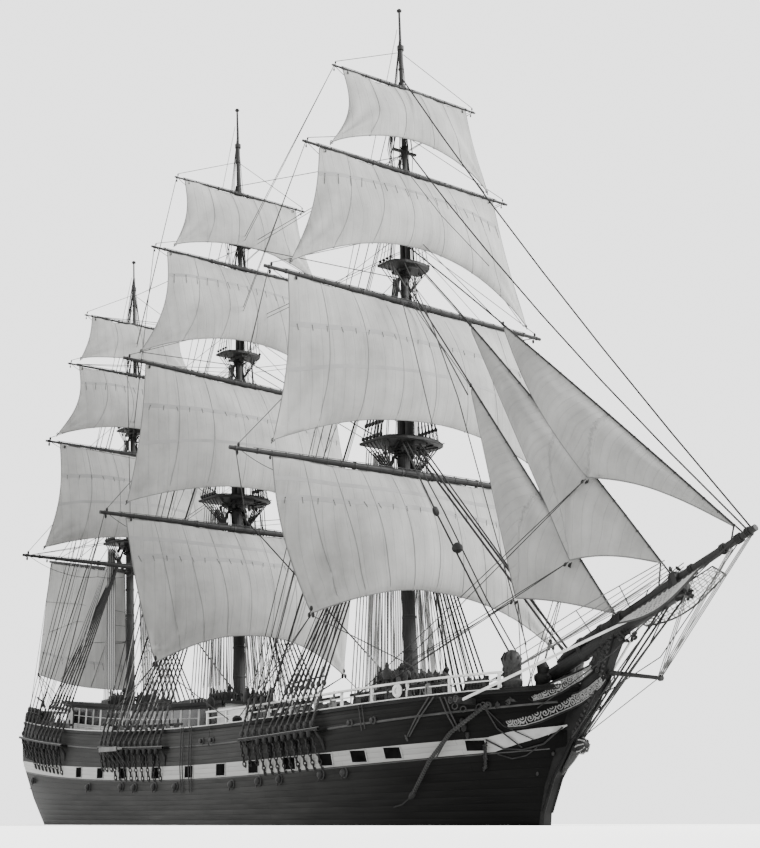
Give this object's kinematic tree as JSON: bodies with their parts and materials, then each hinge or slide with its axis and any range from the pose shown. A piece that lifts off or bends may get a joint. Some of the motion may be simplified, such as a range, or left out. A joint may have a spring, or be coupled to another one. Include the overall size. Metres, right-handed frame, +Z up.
{
  "type": "three-masted tall ship, 1:2 scale model",
  "caption": "Full-rigged sailing ship at 1:2 scale, floating upright: carved bow, open rails, square sails set, headsails and a driver, swinging yards, rudder, helm and capstan.",
  "frame": {"origin": "amidships on the centreline at the waterline", "axes": "+X to the bow, +Y to port, +Z up"},
  "size_m": [35.006, 11.8799, 27.4838],
  "materials": {
    "spar_wood": "dark oiled, satin",
    "hull_paint": "painted, satin",
    "white_paint": "painted, satin",
    "canvas": "woven, matt",
    "tarred_rope": "laid rope, matt"
  },
  "bodies": {
    "ship": {"bowsprit": "spar_wood", "cutwater": "hull_paint", "deckhouse": "white_paint", "fore_deckhouse": "white_paint", "fore_lower_mast": "spar_wood", "fore_stay": "tarred_rope", "fore_topgallant_mast": "spar_wood", "fore_topmast": "spar_wood", "fore_topmast_stay": "tarred_rope", "head_boom_port": "white_paint", "head_boom_starboard": "white_paint", "hull": "hull_paint", "jib": "canvas", "jib_stay": "tarred_rope", "jibboom": "spar_wood", "main_lower_mast": "spar_wood", "main_stay": "tarred_rope", "main_topgallant_mast": "spar_wood", "main_topmast": "spar_wood", "martingale_boom": "spar_wood", "mizzen_lower_mast": "spar_wood", "mizzen_stay": "tarred_rope", "mizzen_topgallant_mast": "spar_wood", "mizzen_topmast": "spar_wood", "outer_jib": "canvas", "outer_jib_stay": "tarred_rope", "rail_port": "white_paint", "rail_starboard": "white_paint", "royal_stay": "tarred_rope", "staysail": "canvas", "topgallant_stay": "tarred_rope"},
    "fore_lower_yards": {"fore_course_sail": "canvas", "fore_course_yard": "spar_wood", "fore_topsail_sail": "canvas", "fore_topsail_yard": "spar_wood"},
    "fore_upper_yards": {"fore_royal_sail": "canvas", "fore_royal_yard": "spar_wood", "fore_topgallant_sail": "canvas", "fore_topgallant_yard": "spar_wood"},
    "main_lower_yards": {"main_course_sail": "canvas", "main_course_yard": "spar_wood", "main_topsail_sail": "canvas", "main_topsail_yard": "spar_wood"},
    "main_upper_yards": {"main_royal_sail": "canvas", "main_royal_yard": "spar_wood", "main_topgallant_sail": "canvas", "main_topgallant_yard": "spar_wood"},
    "mizzen_lower_yards": {"mizzen_course_yard": "spar_wood", "mizzen_topsail_sail": "canvas", "mizzen_topsail_yard": "spar_wood"},
    "mizzen_upper_yards": {"mizzen_royal_sail": "canvas", "mizzen_royal_yard": "spar_wood", "mizzen_topgallant_sail": "canvas", "mizzen_topgallant_yard": "spar_wood"},
    "driver": {"driver_sail": "canvas", "gaff": "spar_wood"},
    "rudder": {"rudder": "hull_paint"},
    "helm_wheel": {"helm_wheel": "spar_wood"},
    "capstan": {"capstan": "spar_wood"}
  },
  "joints": [
    {"name": "fore_lower_brace", "type": "hinge", "parent": "ship", "child": "fore_lower_yards", "pos_m": [6.99317, 0, 9.46], "axis": [-0.049, 0, 0.9988], "range_deg": [-30, 30]},
    {"name": "fore_upper_brace", "type": "hinge", "parent": "ship", "child": "fore_upper_yards", "pos_m": [6.76342, 0, 18.62], "axis": [-0.049, 0, 0.9988], "range_deg": [-30, 30]},
    {"name": "main_lower_brace", "type": "hinge", "parent": "ship", "child": "main_lower_yards", "pos_m": [-2.41109, 0, 9.33], "axis": [-0.0801, 0, 0.9968], "range_deg": [-30, 30]},
    {"name": "main_upper_brace", "type": "hinge", "parent": "ship", "child": "main_upper_yards", "pos_m": [-2.93318, 0, 18.56], "axis": [-0.0801, 0, 0.9968], "range_deg": [-30, 30]},
    {"name": "mizzen_lower_brace", "type": "hinge", "parent": "ship", "child": "mizzen_lower_yards", "pos_m": [-10.30823, 0, 9.15], "axis": [-0.106, 0, 0.9944], "range_deg": [-30, 30]},
    {"name": "mizzen_upper_brace", "type": "hinge", "parent": "ship", "child": "mizzen_upper_yards", "pos_m": [-10.88453, 0, 16.62], "axis": [-0.106, 0, 0.9944], "range_deg": [-30, 30]},
    {"name": "driver_swing", "type": "hinge", "parent": "ship", "child": "driver", "pos_m": [-10.63077, 0, 9.08], "axis": [-0.106, 0, 0.9944], "range_deg": [-38, 12]},
    {"name": "rudder_turn", "type": "hinge", "parent": "ship", "child": "rudder", "pos_m": [-14.27103, 0, 0], "axis": [-0.0797, 0, 0.9968], "range_deg": [-35, 35]},
    {"name": "helm_turn", "type": "hinge", "parent": "ship", "child": "helm_wheel", "pos_m": [-13.25, 0, 3.56462], "axis": [1, 0, 0], "range_deg": [-280, 280]},
    {"name": "capstan_turn", "type": "hinge", "parent": "ship", "child": "capstan", "pos_m": [9.6, 0, 2.7], "axis": [0, 0, 1], "continuous": true}
  ],
  "couplings": [
    {"joint": "fore_upper_brace", "follows": "fore_lower_brace", "ratio": 1},
    {"joint": "main_upper_brace", "follows": "main_lower_brace", "ratio": 1},
    {"joint": "mizzen_upper_brace", "follows": "mizzen_lower_brace", "ratio": 1},
    {"joint": "helm_turn", "follows": "rudder_turn", "ratio": 8}
  ]
}
